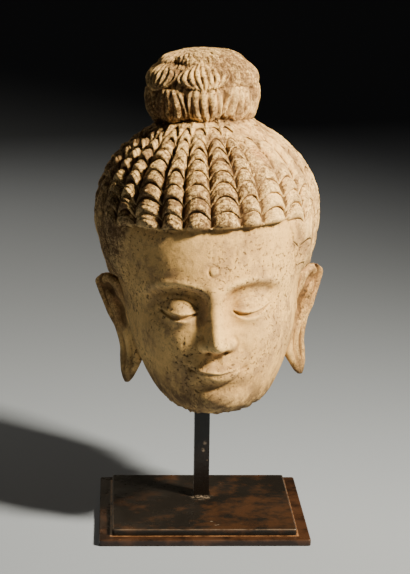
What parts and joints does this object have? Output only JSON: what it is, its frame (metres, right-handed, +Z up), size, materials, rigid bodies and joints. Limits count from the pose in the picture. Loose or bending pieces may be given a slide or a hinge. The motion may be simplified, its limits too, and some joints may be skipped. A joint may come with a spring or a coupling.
{
  "type": "stucco head on a stand",
  "caption": "Weathered stucco head with a topknot and long ears, held up by a square steel post on a stepped steel foot",
  "frame": {"origin": "the middle of the underside of the lower plate", "axes": "+Z up, +X to the right of someone facing the head, the face looks along -Y"},
  "size_m": [0.1815, 0.2142, 0.3669],
  "materials": {
    "stucco": "weathered stucco, pitted and stained",
    "black_steel": "black-brown lacquered steel bar",
    "dark_steel": "nearly black waxed patina with brown patches",
    "brown_steel": "reddish-brown waxed patina, worn at the edges"
  },
  "bodies": {
    "root": {"head": "stucco", "post": "black_steel", "upper_plate": "dark_steel", "lower_plate": "brown_steel"}
  },
  "joints": []
}
